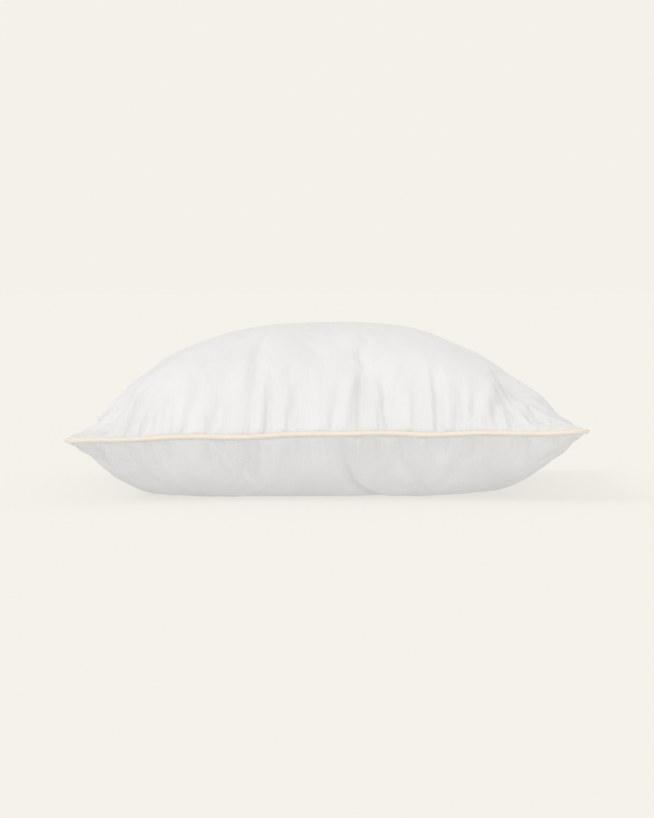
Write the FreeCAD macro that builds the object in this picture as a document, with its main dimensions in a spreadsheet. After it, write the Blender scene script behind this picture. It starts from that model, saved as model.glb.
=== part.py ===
import FreeCAD, Part
import math
import os
import Sketcher
from FreeCAD import Vector

# A filled bed pillow: two cotton panels sewn together round a corded piping, with an inner
# feather core between two layers of down. All sizes are in millimetres, +Z is up, +X runs
# along the long sides. The origin is on the surface the pillow rests on, below its middle.

SIZES = (
    # the seam outline, seen from above
    ("seam_length", 612),        # corner to corner, along the long sides
    ("seam_width", 468),         # corner to corner, along the short sides
    ("long_side_draw", 14),      # how far the filling pulls the middle of a long side in
    ("short_side_draw", 18),
    ("corner_radius", 22),
    # the bulge of the outer panels and of the core
    ("crown", 127),              # seam plane to the top
    ("belly", 80),               # seam plane to the surface below
    ("dome_reach_long", 190),    # seam to the flat top, measured along the length
    ("dome_reach_wide", 165),
    ("belly_reach_long", 180),
    ("belly_reach_wide", 150),
    ("core_crown", 62),
    ("core_belly", 50),
    ("core_reach_long", 160),
    ("core_reach_wide", 135),
    ("corner_swell", 100),       # extra corner rounding, largest half way up
    ("corner_spread", 50),       # extra corner rounding at the flat top
    # cloth and seam
    ("panel_fabric", 0.5),
    ("core_fabric", 0.4),
    ("piping_fabric", 0.4),
    ("seam_allowance", 12),
    ("ply_gap", 0.1),            # air between two plies of the seam
    ("fold_height", 1.2),        # upright part of a panel where it folds over its allowance
    ("core_clearance", 1.6),     # level distance from the outer panels' walls to the core's fold
    # corded piping
    ("cord_diameter", 5),
    ("cord_gap", 0.1),
    ("ditch", 0.6),              # crevice between the panels' fold and the piping
    # threads
    ("thread_diameter", 0.3),
    ("seam_thread_inset", 6.5),
    ("overlock_width", 3),
    ("overlock_thickness", 0.3),
    ("closing_length", 250),     # the filling opening, sewn up in the ditch of a short side
    ("closing_row_share", 0.8),  # height of a closing row, as a share of the piping's radius
    ("stitch_length", 3),
    ("stitch_pitch", 4.2),
    # care label, sewn into the back long side
    ("label_width", 30),
    ("label_drop", 42),
    ("label_thickness", 0.3),
    ("label_gap", 0.15),         # between the hanging tape and the panels' fold
    # filling
    ("fill_gap", 2),             # between the filling and the cloth round it
    ("fill_edge", 8),            # height of the filling's blunt edge beside the seam plane
    # how far a cut reaches past what it cuts
    ("cut_margin", 10),
)

# Where the level cuts of a dome lie, as shares of its reach: 0 at the seam, 1 at the flat top.
SHARES = (0, 0.15, 0.35, 0.65, 1)

# A level cut's sides are drawn in at the seam, straight where share * SIDE_TURN is 1, and bowed
# out above that.
SIDE_TURN = 2.2

doc = FreeCAD.newDocument("bed_pillow")
sheet = doc.addObject("Spreadsheet::Sheet", "Dimensions")
for row, (alias, size) in enumerate(SIZES, start=1):
    sheet.set(f"A{row}", alias)
    sheet.set(f"B{row}", str(size))
    sheet.setAlias(f"B{row}", alias)
doc.recompute()


def size(expression):
    """The number an expression gives with the present sizes."""
    result = sheet.evalExpression(expression)
    return float(getattr(result, "Value", result))


# Expressions that several pieces share. Heights of the seam's plies are above or below the seam
# plane: core panels outermost, then the outer panels, and the piping's two plies in the middle.
SEAM_PLANE = "Dimensions.belly"
TOP_PLY = "(Dimensions.piping_fabric + Dimensions.ply_gap)"
CORE_TOP_PLY = f"({TOP_PLY} + Dimensions.panel_fabric + Dimensions.ply_gap)"
STACK_TOP = f"({CORE_TOP_PLY} + Dimensions.core_fabric)"
LABEL_PLY = TOP_PLY
BOTTOM_PLY = f"({LABEL_PLY} + Dimensions.label_thickness + Dimensions.ply_gap)"
CORE_BOTTOM_PLY = f"({BOTTOM_PLY} + Dimensions.panel_fabric + Dimensions.ply_gap)"
STACK_BOTTOM = f"({CORE_BOTTOM_PLY} + Dimensions.core_fabric)"
CORE_INSET = "(Dimensions.core_clearance + 2*Dimensions.panel_fabric)"
COVER_BORE = "(Dimensions.cord_diameter/2 + Dimensions.cord_gap)"
COVER_RADIUS = f"({COVER_BORE} + Dimensions.piping_fabric)"
PIPING_STAND = f"({COVER_RADIUS} + Dimensions.ditch)"

# The sides of the seam outline meet at less than a right angle, because each is drawn in. So a
# parallel outline's tips lie further out than its sides do, by these factors.
LONG_SLOPE = "(4*Dimensions.long_side_draw/Dimensions.seam_length)"
SHORT_SLOPE = "(4*Dimensions.short_side_draw/Dimensions.seam_width)"
LONG_RUN = f"sqrt(1 + {LONG_SLOPE}^2)"
SHORT_RUN = f"sqrt(1 + {SHORT_SLOPE}^2)"
LENGTH_TURN = f"({SHORT_RUN} + {SHORT_SLOPE}*{LONG_RUN})/(1 - {LONG_SLOPE}*{SHORT_SLOPE})"
WIDTH_TURN = f"({LONG_RUN} + {LONG_SLOPE}*{SHORT_RUN})/(1 - {LONG_SLOPE}*{SHORT_SLOPE})"


class Dome:
    """A bulging surface that starts at the seam outline and ends in a flat top or foot.

    side is 1 above the seam plane and -1 below. start is the distance from the seam plane at
    which the bulge starts, height that of its flat, and inset_long and inset_wide how far it
    starts inside the seam outline on the two pairs of sides.
    """

    def __init__(self, side, start, height, reach, inset_long="0", inset_wide="0"):
        self.side = side
        self.start = start
        self.height = height
        self.reach = reach
        self.reach_long = f"Dimensions.{reach}_reach_long"
        self.reach_wide = f"Dimensions.{reach}_reach_wide"
        self.inset_long = inset_long
        self.inset_wide = inset_wide

    def rise(self):
        return f"({self.height} - {self.start})"

    def wall_inset(self, thickness, reach):
        """The level width of a wall whose thickness is measured square to the slope at the seam."""
        return f"{thickness}*sqrt(1 + ({reach}/(2*{self.rise()}))^2)"

    def offset(self, thickness, start=None):
        """The surface `thickness` inside this one."""
        long_inset = f"({self.inset_long} + {self.wall_inset(thickness, self.reach_long)})"
        wide_inset = f"({self.inset_wide} + {self.wall_inset(thickness, self.reach_wide)})"
        height = f"({self.height} - {thickness})"
        return Dome(self.side, start or self.start, height, self.reach, long_inset, wide_inset)

    def level(self, share):
        bulge = 1 - (1 - share) ** 2
        return f"{SEAM_PLANE} + {self.side}*({self.start} + {self.rise()}*{bulge:.4f})"

    def cut(self, share):
        """The outline of the level cut at this share of the reach."""
        if share == 0:
            return seam_outline(self.inset_long, self.inset_wide)
        swell = f"Dimensions.corner_swell*{share * (1 - share):.4f}"
        spread = f"Dimensions.corner_spread*{share:.4f}"
        return {
            "half_length": f"Dimensions.seam_length/2 - {self.inset_long} - {self.reach_long}*{share}",
            "half_width": f"Dimensions.seam_width/2 - {self.inset_wide} - {self.reach_wide}*{share}",
            "long_draw": f"Dimensions.long_side_draw*{1 - SIDE_TURN * share:.3f}",
            "short_draw": f"Dimensions.short_side_draw*{1 - SIDE_TURN * share:.3f}",
            "corner_radius": f"Dimensions.corner_radius - {self.inset_long} + {swell} + {spread}",
        }


def seam_outline(inset, inset_wide=None):
    """The seam outline moved in by `inset`; a negative inset lies outside it."""
    return {
        "half_length": f"Dimensions.seam_length/2 - {inset}",
        "half_width": f"Dimensions.seam_width/2 - {inset_wide or inset}",
        "long_draw": "Dimensions.long_side_draw",
        "short_draw": "Dimensions.short_side_draw",
        "corner_radius": f"Dimensions.corner_radius - {inset}",
    }


def outside_outline(outset):
    """The outline that lies the same distance outside the seam everywhere, corners included."""
    length_shift = f"{outset}*({LENGTH_TURN})"
    width_shift = f"{outset}*({WIDTH_TURN})"
    return {
        "half_length": f"Dimensions.seam_length/2 + {length_shift}",
        "half_width": f"Dimensions.seam_width/2 + {width_shift}",
        "long_draw": f"Dimensions.long_side_draw + {width_shift} - {outset}",
        "short_draw": f"Dimensions.short_side_draw + {length_shift} - {outset}",
        "corner_radius": f"Dimensions.corner_radius + {outset}",
    }


def fold_start(ply):
    """Where the bulge of a panel starts, above its allowance and its upright fold."""
    return f"({ply} + Dimensions.fold_height)"


def new_body(label):
    body = doc.addObject("PartDesign::Body", label.title().replace("_", ""))
    body.Label = label
    return body


def new_sketch(body, name, plane="XY_Plane", height=None):
    """A sketch on one of the body's origin planes, raised to a height if one is given."""
    sketch = body.newObject("Sketcher::SketchObject", name)
    origin_plane = [item for item in body.Origin.OriginFeatures if item.Role == plane][0]
    sketch.AttachmentSupport = [(origin_plane, "")]
    sketch.MapMode = "FlatFace"
    if height:
        sketch.setExpression(".AttachmentOffset.Base.z", height)
    return sketch


def bind(sketch, name, expression, kind, *target):
    """A sketch dimension that follows the sheet."""
    index = sketch.addConstraint(Sketcher.Constraint(kind, *target, size(expression)))
    sketch.renameConstraint(index, name)
    sketch.setExpression(f"Constraints.{name}", expression)


def arc(centre, radius, start, end):
    """The arc from start to end, the way round that a positive turn takes."""
    first = math.atan2(start.y - centre.y, start.x - centre.x)
    last = math.atan2(end.y - centre.y, end.x - centre.x)
    if last <= first:
        last += 2 * math.pi
    return Part.ArcOfCircle(Part.Circle(centre, Vector(0, 0, 1), radius), first, last)


def circle_meeting(centre_a, radius_a, centre_b, radius_b, near):
    """The crossing of two circles that is nearer to a given point."""
    apart = (centre_b - centre_a).Length
    along = (radius_a ** 2 - radius_b ** 2 + apart ** 2) / (2 * apart)
    across = math.sqrt(max(0.0, radius_a ** 2 - along ** 2))
    direction = (centre_b - centre_a) * (1 / apart)
    normal = Vector(-direction.y, direction.x, 0)
    crossings = (centre_a + direction * along + normal * across,
                 centre_a + direction * along - normal * across)
    return min(crossings, key=lambda point: (point - near).Length)


def draw_outline(sketch, name, outline):
    """One closed outline: four side arcs and four corner arcs, alike on both sides of X and Y.

    A positive draw pulls the middle of a side in, a negative one bows it out.
    """
    half_length = size(outline["half_length"])
    half_width = size(outline["half_width"])
    long_draw = size(outline["long_draw"])
    short_draw = size(outline["short_draw"])
    corner = size(outline["corner_radius"])
    long_radius = (half_length ** 2 + long_draw ** 2) / (2 * long_draw)
    short_radius = (half_width ** 2 + short_draw ** 2) / (2 * short_draw)
    long_centre = Vector(0, half_width - long_draw + long_radius, 0)
    short_centre = Vector(half_length - short_draw + short_radius, 0, 0)
    corner_centre = circle_meeting(long_centre, abs(long_radius + corner),
                                   short_centre, abs(short_radius + corner),
                                   Vector(half_length - corner, half_width - corner, 0))
    on_long = long_centre + (corner_centre - long_centre) * (long_radius / (long_radius + corner))
    on_short = short_centre + (corner_centre - short_centre) * (short_radius / (short_radius + corner))

    def mirrored(point, x_side, y_side):
        return Vector(point.x * x_side, point.y * y_side, 0)

    quadrants = ((1, 1), (-1, 1), (-1, -1), (1, -1))
    corners = []
    for x_side, y_side in quadrants:
        ends = (on_short, on_long) if x_side * y_side > 0 else (on_long, on_short)
        start, end = (mirrored(point, x_side, y_side) for point in ends)
        corners.append(sketch.addGeometry(arc(mirrored(corner_centre, x_side, y_side), corner, start, end)))
    sides = []
    for index, (x_side, y_side) in enumerate(quadrants):
        next_x, next_y = quadrants[(index + 1) % 4]
        along_length = y_side == next_y
        touching = on_long if along_length else on_short
        centre = mirrored(long_centre if along_length else short_centre, x_side, y_side)
        radius = long_radius if along_length else short_radius
        start = mirrored(touching, x_side, y_side)
        end = mirrored(touching, next_x, next_y)
        if radius > 0:
            sides.append((sketch.addGeometry(arc(centre, radius, end, start)), 2, 1))
        else:
            sides.append((sketch.addGeometry(arc(centre, -radius, start, end)), 1, 2))
    tip = sketch.addGeometry(Part.Point(Vector(half_length, half_width, 0)), True)
    long_middle = sketch.addGeometry(Part.Point(Vector(0, half_width - long_draw, 0)), True)
    short_middle = sketch.addGeometry(Part.Point(Vector(half_length - short_draw, 0, 0)), True)

    for index, (side, first_end, last_end) in enumerate(sides):
        sketch.addConstraint(Sketcher.Constraint("Tangent", corners[index], 2, side, first_end))
        sketch.addConstraint(Sketcher.Constraint("Tangent", side, last_end, corners[(index + 1) % 4], 1))
    for other in corners[1:]:
        sketch.addConstraint(Sketcher.Constraint("Equal", corners[0], other))
    back_side, left_side, front_side, right_side = (side for side, _, _ in sides)
    sketch.addConstraint([
        Sketcher.Constraint("Equal", back_side, front_side),
        Sketcher.Constraint("Equal", left_side, right_side),
        Sketcher.Constraint("Symmetric", corners[0], 3, corners[1], 3, -2),
        Sketcher.Constraint("Symmetric", corners[0], 3, corners[3], 3, -1),
        Sketcher.Constraint("Symmetric", corners[1], 3, corners[2], 3, -1),
        Sketcher.Constraint("PointOnObject", tip, 1, back_side),
        Sketcher.Constraint("PointOnObject", tip, 1, right_side),
        Sketcher.Constraint("PointOnObject", long_middle, 1, -2),
        Sketcher.Constraint("PointOnObject", long_middle, 1, back_side),
        Sketcher.Constraint("PointOnObject", short_middle, 1, -1),
        Sketcher.Constraint("PointOnObject", short_middle, 1, right_side),
    ])
    bind(sketch, f"{name}_half_length", outline["half_length"], "DistanceX", -1, 1, tip, 1)
    bind(sketch, f"{name}_half_width", outline["half_width"], "DistanceY", -1, 1, tip, 1)
    bind(sketch, f"{name}_middle_width", f"{outline['half_width']} - ({outline['long_draw']})",
         "DistanceY", -1, 1, long_middle, 1)
    bind(sketch, f"{name}_middle_length", f"{outline['half_length']} - ({outline['short_draw']})",
         "DistanceX", -1, 1, short_middle, 1)
    bind(sketch, f"{name}_corner_radius", outline["corner_radius"], "Radius", corners[0])


def loft_dome(body, name, dome, remove=False):
    """A dome as a solid, lofted through its level cuts."""
    sketches = []
    for share in SHARES:
        sketch = new_sketch(body, f"{name}Cut", height=dome.level(share))
        draw_outline(sketch, "cut", dome.cut(share))
        sketches.append(sketch)
    kind = "PartDesign::SubtractiveLoft" if remove else "PartDesign::AdditiveLoft"
    loft = body.newObject(kind, name)
    loft.Profile = sketches[0]
    loft.Sections = sketches[1:]
    return loft


def ring(body, name, level, thickness, outer_inset, inner_inset, side=1, remove=False):
    """A flat ring between two insets of the seam outline, thickening away from its level."""
    sketch = new_sketch(body, f"{name}Outline", height=level)
    draw_outline(sketch, "outer", seam_outline(outer_inset))
    draw_outline(sketch, "inner", seam_outline(inner_inset))
    feature = body.newObject("PartDesign::Pocket" if remove else "PartDesign::Pad", name)
    feature.Profile = sketch
    feature.setExpression("Length", thickness)
    # a pad grows along the sketch's normal and a pocket against it
    feature.Reversed = (side < 0) != remove
    return feature


def trim_below_edge(body, dome):
    """Cuts the thin rim off a filling beside the seam, which leaves it a blunt edge."""
    sketch = new_sketch(body, "RimOutline", height=dome.level(0))
    draw_outline(sketch, "rim", seam_outline("(-Dimensions.cut_margin)"))
    rim = body.newObject("PartDesign::Pocket", "Rim")
    rim.Profile = sketch
    rim.setExpression("Length", "Dimensions.fill_edge")
    rim.Reversed = dome.side > 0
    return rim


def fill_outline(body, name, outline, level, thickness, side, remove=False):
    """A flat plate inside an outline, or its removal, from a level away from the seam plane."""
    sketch = new_sketch(body, f"{name}Outline", height=level)
    draw_outline(sketch, "edge", outline)
    feature = body.newObject("PartDesign::Pocket" if remove else "PartDesign::Pad", name)
    feature.Profile = sketch
    feature.setExpression("Length", thickness)
    # a pad grows along the sketch's normal and a pocket against it
    feature.Reversed = (side < 0) != remove
    return feature


def make_panel(label, dome, ply, fabric):
    """A sewn panel: its domed shell, its fold, and the allowance that the seam folds inward."""
    side = dome.side
    lining = dome.offset(fabric)
    allowance_level = f"{SEAM_PLANE} + {side}*{ply}"
    hollow_level = f"{SEAM_PLANE} + {side}*({ply} + {fabric})"
    body = new_body(label)
    fill_outline(body, "Fold", dome.cut(0), allowance_level, "Dimensions.fold_height", side)
    loft_dome(body, "Outside", dome)
    loft_dome(body, "Inside", lining, remove=True)
    fill_outline(body, "FoldHollow", lining.cut(0), hollow_level, f"Dimensions.fold_height - {fabric}", side,
                 remove=True)
    fill_outline(body, "Allowance", seam_outline("Dimensions.seam_allowance"), allowance_level, fabric, side,
                 remove=True)
    return body


def make_piping_cover():
    """Bias cloth round the cord, with the flange of two plies that the seam holds."""
    body = new_body("piping_cover")
    spine = new_sketch(body, "Spine", height=SEAM_PLANE)
    draw_outline(spine, "spine", outside_outline(PIPING_STAND))
    sweep_round(body, "Wrap", COVER_RADIUS, spine, f"-{PIPING_STAND}")
    flange_outset = "-(Dimensions.ditch + 3*Dimensions.piping_fabric/4)"
    ring(body, "Flange", f"{SEAM_PLANE} - Dimensions.piping_fabric", "2*Dimensions.piping_fabric",
         flange_outset, "Dimensions.seam_allowance")
    sweep_round(body, "Bore", COVER_BORE, spine, f"-{PIPING_STAND}", remove=True)
    return body


def draw_circle(sketch, name, across, level, radius):
    """A circle at a distance on the negative side of the sketch, and at a level."""
    centre = Vector(-size(across), size(level), 0)
    circle = sketch.addGeometry(Part.Circle(centre, Vector(0, 0, 1), size(radius)))
    bind(sketch, f"{name}_across", across, "DistanceX", circle, 3, -1, 1)
    bind(sketch, f"{name}_level", level, "DistanceY", -1, 1, circle, 3)
    bind(sketch, f"{name}_radius", radius, "Radius", circle)


def sweep_round(body, name, radius, spine, inset, height="0", remove=False):
    """A round sweep along the seam. Its section stands at the middle of the front long side."""
    section = new_sketch(body, f"{name}Section", "YZ_Plane")
    front = f"Dimensions.seam_width/2 - {inset} - Dimensions.long_side_draw"
    draw_circle(section, "section", front, f"{SEAM_PLANE} + {height}", radius)
    sweep = body.newObject("PartDesign::SubtractivePipe" if remove else "PartDesign::AdditivePipe", name)
    sweep.Profile = section
    sweep.Spine = spine
    return sweep


def make_swept_ring(label, radius, inset, height="0", outline=None):
    """A round cord or thread that follows the seam, or an outline beside it, all the way round."""
    body = new_body(label)
    spine = new_sketch(body, "Spine", height=f"{SEAM_PLANE} + {height}")
    draw_outline(spine, "spine", outline or seam_outline(inset))
    sweep_round(body, "Sweep", radius, spine, inset, height)
    return body


def make_overlock_edging():
    """The overlocked thread edging that wraps the raw edges of all the seam's plies."""
    body = new_body("overlock_edging")
    wrap = "(Dimensions.ply_gap + Dimensions.overlock_thickness)"
    outer = "(Dimensions.seam_allowance - Dimensions.overlock_width)"
    ring(body, "Wrap", f"{SEAM_PLANE} - {STACK_BOTTOM} - {wrap}", f"{STACK_TOP} + {STACK_BOTTOM} + 2*{wrap}",
         outer, f"(Dimensions.seam_allowance + {wrap})")
    ring(body, "Room", f"{SEAM_PLANE} - {STACK_BOTTOM} - Dimensions.ply_gap",
         f"{STACK_TOP} + {STACK_BOTTOM} + 2*Dimensions.ply_gap",
         f"({outer} - Dimensions.cut_margin)", "(Dimensions.seam_allowance + Dimensions.ply_gap)", remove=True)
    return body


def make_closing_stitches():
    """Stitches that close the filling opening, in the ditch above and below the piping."""
    body = new_body("closing_stitches")
    body.AllowCompound = True
    draw = "Dimensions.short_side_draw"
    side_middle = f"Dimensions.seam_length/2 - {draw}"
    side_radius = f"((Dimensions.seam_width/2)^2 + {draw}^2)/(2*{draw})"
    row_outset = "Dimensions.ditch"
    row_height = f"({COVER_RADIUS}*Dimensions.closing_row_share)"
    pivot = new_sketch(body, "Pivot")
    pivot.setExpression(".AttachmentOffset.Base.x", f"-({side_middle} + {side_radius})")
    section = new_sketch(body, "Section", "XZ_Plane")
    for name, side in (("upper", 1), ("lower", -1)):
        draw_circle(section, name, f"{side_middle} + {row_outset}", f"{SEAM_PLANE} + {side}*{row_height}",
                    "Dimensions.thread_diameter/2")
    stitch = body.newObject("PartDesign::Pad", "Stitch")
    stitch.Profile = section
    stitch.Midplane = True
    stitch.setExpression("Length", "Dimensions.stitch_length")
    doc.recompute()
    count = "floor(Dimensions.closing_length/(2*Dimensions.stitch_pitch))"
    for name, backwards in (("Forward", False), ("Backward", True)):
        row = body.newObject("PartDesign::PolarPattern", name)
        row.Originals = [stitch]
        row.Axis = (pivot, ["N_Axis"])
        row.Reversed = backwards
        row.setExpression("Occurrences", f"{count} + 1")
        row.setExpression("Angle", f"{count}*Dimensions.stitch_pitch/({side_radius})*180/pi")
        body.Tip = row
        doc.recompute()
    return body


def make_care_label():
    """A folded tape: its tab lies in the seam, and the rest hangs down behind the pillow."""
    body = new_body("care_label")
    edge = "Dimensions.seam_width/2 - Dimensions.long_side_draw"
    tab_in = f"{edge} - Dimensions.seam_allowance"
    near = f"{edge} + Dimensions.label_gap"
    far = f"{near} + Dimensions.label_thickness"
    upper = f"{SEAM_PLANE} - {LABEL_PLY}"
    lower = f"{upper} - Dimensions.label_thickness"
    foot = f"{upper} - Dimensions.label_drop"
    corners = ((tab_in, upper), (far, upper), (far, foot), (near, foot), (near, lower), (tab_in, lower))
    section = new_sketch(body, "Section", "YZ_Plane")
    points = [Vector(size(across), size(level), 0) for across, level in corners]
    lines = [section.addGeometry(Part.LineSegment(point, points[(index + 1) % len(points)]))
             for index, point in enumerate(points)]
    for index, line in enumerate(lines):
        section.addConstraint(Sketcher.Constraint("Coincident", line, 2, lines[(index + 1) % len(lines)], 1))
    for index, (across, level) in enumerate(corners):
        bind(section, f"across_{index}", across, "DistanceX", -1, 1, lines[index], 1)
        bind(section, f"level_{index}", level, "DistanceY", -1, 1, lines[index], 1)
    tape = body.newObject("PartDesign::Pad", "Tape")
    tape.Profile = section
    tape.Midplane = True
    tape.setExpression("Length", "Dimensions.label_width")
    return body


def make_down_fill(label, panel_dome, fabric, core_dome):
    """A layer of down: it fills its panel, is hollowed by the core and ends in a blunt edge."""
    body = new_body(label)
    loft_dome(body, "Outside", panel_dome.offset(f"({fabric} + Dimensions.fill_gap)"))
    loft_dome(body, "Hollow", core_dome.offset("(-Dimensions.fill_gap)"), remove=True)
    trim_below_edge(body, panel_dome)
    return body


def make_core_fill(top_dome, bottom_dome):
    """The feather core: both halves meet in the seam plane, inside the seam's raw edges."""
    body = new_body("core_feather_fill")
    for name, dome in (("Upper", top_dome), ("Lower", bottom_dome)):
        loft_dome(body, name, dome.offset("(Dimensions.core_fabric + Dimensions.fill_gap)", start="0"))
    sketch = new_sketch(body, "RimOutline", height=SEAM_PLANE)
    draw_outline(sketch, "outer", seam_outline("(-Dimensions.cut_margin)"))
    draw_outline(sketch, "inner", seam_outline("(Dimensions.seam_allowance + 2*Dimensions.fill_gap)"))
    rim = body.newObject("PartDesign::Pocket", "Rim")
    rim.Profile = sketch
    rim.Midplane = True
    rim.setExpression("Length", "2*(Dimensions.core_crown + Dimensions.core_belly)")
    return body


TOP_DOME = Dome(1, fold_start(TOP_PLY), "Dimensions.crown", "dome")
BOTTOM_DOME = Dome(-1, fold_start(BOTTOM_PLY), "Dimensions.belly", "belly")
CORE_TOP_DOME = Dome(1, fold_start(CORE_TOP_PLY), "Dimensions.core_crown", "core", CORE_INSET, CORE_INSET)
CORE_BOTTOM_DOME = Dome(-1, fold_start(CORE_BOTTOM_PLY), "Dimensions.core_belly", "core",
                        CORE_INSET, CORE_INSET)

pieces = [
    make_panel("top_panel", TOP_DOME, TOP_PLY, "Dimensions.panel_fabric"),
    make_panel("bottom_panel", BOTTOM_DOME, BOTTOM_PLY, "Dimensions.panel_fabric"),
    make_panel("core_top_panel", CORE_TOP_DOME, CORE_TOP_PLY, "Dimensions.core_fabric"),
    make_panel("core_bottom_panel", CORE_BOTTOM_DOME, CORE_BOTTOM_PLY, "Dimensions.core_fabric"),
    make_piping_cover(),
    make_swept_ring("piping_cord", "Dimensions.cord_diameter/2", f"-{PIPING_STAND}",
                    outline=outside_outline(PIPING_STAND)),
    make_swept_ring("needle_thread", "Dimensions.thread_diameter/2", "Dimensions.seam_thread_inset",
                    f"({STACK_TOP} + Dimensions.ply_gap + Dimensions.thread_diameter/2)"),
    make_swept_ring("bobbin_thread", "Dimensions.thread_diameter/2", "Dimensions.seam_thread_inset",
                    f"(-({STACK_BOTTOM} + Dimensions.ply_gap + Dimensions.thread_diameter/2))"),
    make_overlock_edging(),
    make_closing_stitches(),
    make_care_label(),
    make_down_fill("upper_down_fill", TOP_DOME, "Dimensions.panel_fabric", CORE_TOP_DOME),
    make_down_fill("lower_down_fill", BOTTOM_DOME, "Dimensions.panel_fabric", CORE_BOTTOM_DOME),
    make_core_fill(CORE_TOP_DOME, CORE_BOTTOM_DOME),
]
doc.recompute()

for item in doc.Objects:
    if "Invalid" in item.State or "Error" in item.State:
        raise RuntimeError(f"{item.Label} failed: {item.State}")
for piece in pieces:
    if piece.Shape.isNull() or not piece.Shape.isValid():
        raise RuntimeError(f"{piece.Label} has no valid shape")

os.makedirs("parts", exist_ok=True)
for piece in pieces:
    piece.Shape.exportStep(f"parts/{piece.Label}.step")
    box = piece.Shape.BoundBox
    print(f"{piece.Label}: {len(piece.Shape.Solids)} solids, {piece.Shape.Volume / 1000:.1f} cm3, "
          f"{box.XLength:.1f} x {box.YLength:.1f} x {box.ZLength:.1f} mm, from z {box.ZMin:.1f}")
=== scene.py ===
# %% [markdown]
# # A piped bed pillow
# The real pillow is two cotton panels sewn together all the way round, with a corded piping
# caught in the seam. Inside lies a feather core in a casing of its own, between two layers of
# down. The frame holds all of these as plain solids. This lesson gives each one its real
# surface: the panels by cloth simulation, the piping and the inner layers by meshes that follow
# the simulated seam, and every row of stitches by Geometry Nodes.

# %% Load the frame
import math
import bpy
import numpy as np
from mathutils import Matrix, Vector


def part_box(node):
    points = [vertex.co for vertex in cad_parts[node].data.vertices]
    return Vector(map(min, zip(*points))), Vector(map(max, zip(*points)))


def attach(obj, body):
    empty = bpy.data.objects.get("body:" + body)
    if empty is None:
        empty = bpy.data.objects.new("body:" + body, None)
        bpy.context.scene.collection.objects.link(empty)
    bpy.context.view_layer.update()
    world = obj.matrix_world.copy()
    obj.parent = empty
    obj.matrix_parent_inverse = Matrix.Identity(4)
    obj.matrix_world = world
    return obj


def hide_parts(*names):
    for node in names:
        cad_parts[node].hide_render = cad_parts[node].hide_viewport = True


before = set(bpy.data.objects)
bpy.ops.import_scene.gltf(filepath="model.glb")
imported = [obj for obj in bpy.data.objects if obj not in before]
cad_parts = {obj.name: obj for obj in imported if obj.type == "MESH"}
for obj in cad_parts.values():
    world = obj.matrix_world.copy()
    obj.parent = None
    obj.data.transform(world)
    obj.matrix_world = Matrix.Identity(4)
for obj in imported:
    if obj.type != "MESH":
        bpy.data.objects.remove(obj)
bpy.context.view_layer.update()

scene = bpy.context.scene
print("frame holds", len(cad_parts), "nodes")

# %% [markdown]
# ## Sizes
# Every length is in metres. The seam plane, the crown, the foot and the plies of the seam come
# from the frame's own boxes, so the looks always fit the design. Only what a box cannot tell,
# such as how far the filling draws the sides in, is set here.

# %% Read the sizes of the pillow
panel_low, panel_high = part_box("top_panel")
foot_low, foot_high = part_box("bottom_panel")
cover_low, cover_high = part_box("piping_cover")
cord_low, cord_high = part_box("piping_cord")

# how far the sewn line lies outside the panels' widest cut, at the two kinds of side
LONG_REACH, WIDE_REACH = 0.0024, 0.0014
SEAM_HEIGHT = (cover_low[2] + cover_high[2]) / 2
HALF_LENGTH = panel_high[0] + LONG_REACH
HALF_WIDTH = panel_high[1] + WIDE_REACH
CROWN = panel_high[2] - SEAM_HEIGHT
BELLY = SEAM_HEIGHT - foot_low[2]
COVER_RADIUS = (cover_high[2] - cover_low[2]) / 2
CORD_RADIUS = (cord_high[2] - cord_low[2]) / 2
FABRIC, CORE_FABRIC, COVER_FABRIC = 0.0005, 0.0004, 0.0004
ALLOWANCE = 0.012
# how far the filling draws in the middle of a long and of a short side
LONG_DRAW, SHORT_DRAW = 0.014, 0.018
CORNER_RADIUS = 0.016
CUT_LENGTH, CUT_WIDTH = 0.660, 0.508
# a panel steps off the seam's middle surface by the plies in between, then by its turned-in edge
SEAM_STEP, SEAM_BULK = 0.0022, 0.0016
print(f"seam at {SEAM_HEIGHT:.3f}, crown {CROWN:.3f} above it, foot {BELLY:.3f} below it")

# %% [markdown]
# ## The grid that every cloth layer shares
# A panel is woven, so a grid of square cells is its natural mesh: one direction of the grid is
# the warp and the other the weft. A point of the grid is named by u and v, which run from -1 to
# 1 between the seams. Rounding the corners of the square gives the sewn outline, and the sides
# are drawn in towards the middle, because a filled panel needs its width to go up and over.

# %% Place the grid in the seam outline
CELLS_LONG, CELLS_WIDE = 120, 91


def grid_numbers(cells_long, cells_wide):
    """u and v at every point of a grid."""
    u = np.linspace(-1, 1, cells_long + 1)
    v = np.linspace(-1, 1, cells_wide + 1)
    return np.meshgrid(u, v, indexing="ij")


def round_corners(u, v):
    """Bends the four corners of the square into arcs and leaves the rest alone."""
    reach_u = CORNER_RADIUS / HALF_LENGTH
    reach_v = CORNER_RADIUS / HALF_WIDTH
    into_u = np.clip((np.abs(u) - (1 - reach_u)) / reach_u, 0, 1)
    into_v = np.clip((np.abs(v) - (1 - reach_v)) / reach_v, 0, 1)
    round_u = np.abs(u) - reach_u * into_u * (1 - np.sqrt(1 - into_v ** 2 / 2))
    round_v = np.abs(v) - reach_v * into_v * (1 - np.sqrt(1 - into_u ** 2 / 2))
    return np.sign(u) * round_u, np.sign(v) * round_v


def outline_place(u, v):
    """Where a grid point lies in plan: x and y."""
    round_u, round_v = round_corners(u, v)
    x = round_u * (HALF_LENGTH - SHORT_DRAW * (1 - round_v ** 2))
    y = round_v * (HALF_WIDTH - LONG_DRAW * (1 - round_u ** 2))
    return x, y


u_grid, v_grid = grid_numbers(CELLS_LONG, CELLS_WIDE)
x_grid, y_grid = outline_place(u_grid, v_grid)
print(f"cells of about {1000 * 2 * HALF_LENGTH / CELLS_LONG:.1f} mm")

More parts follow.
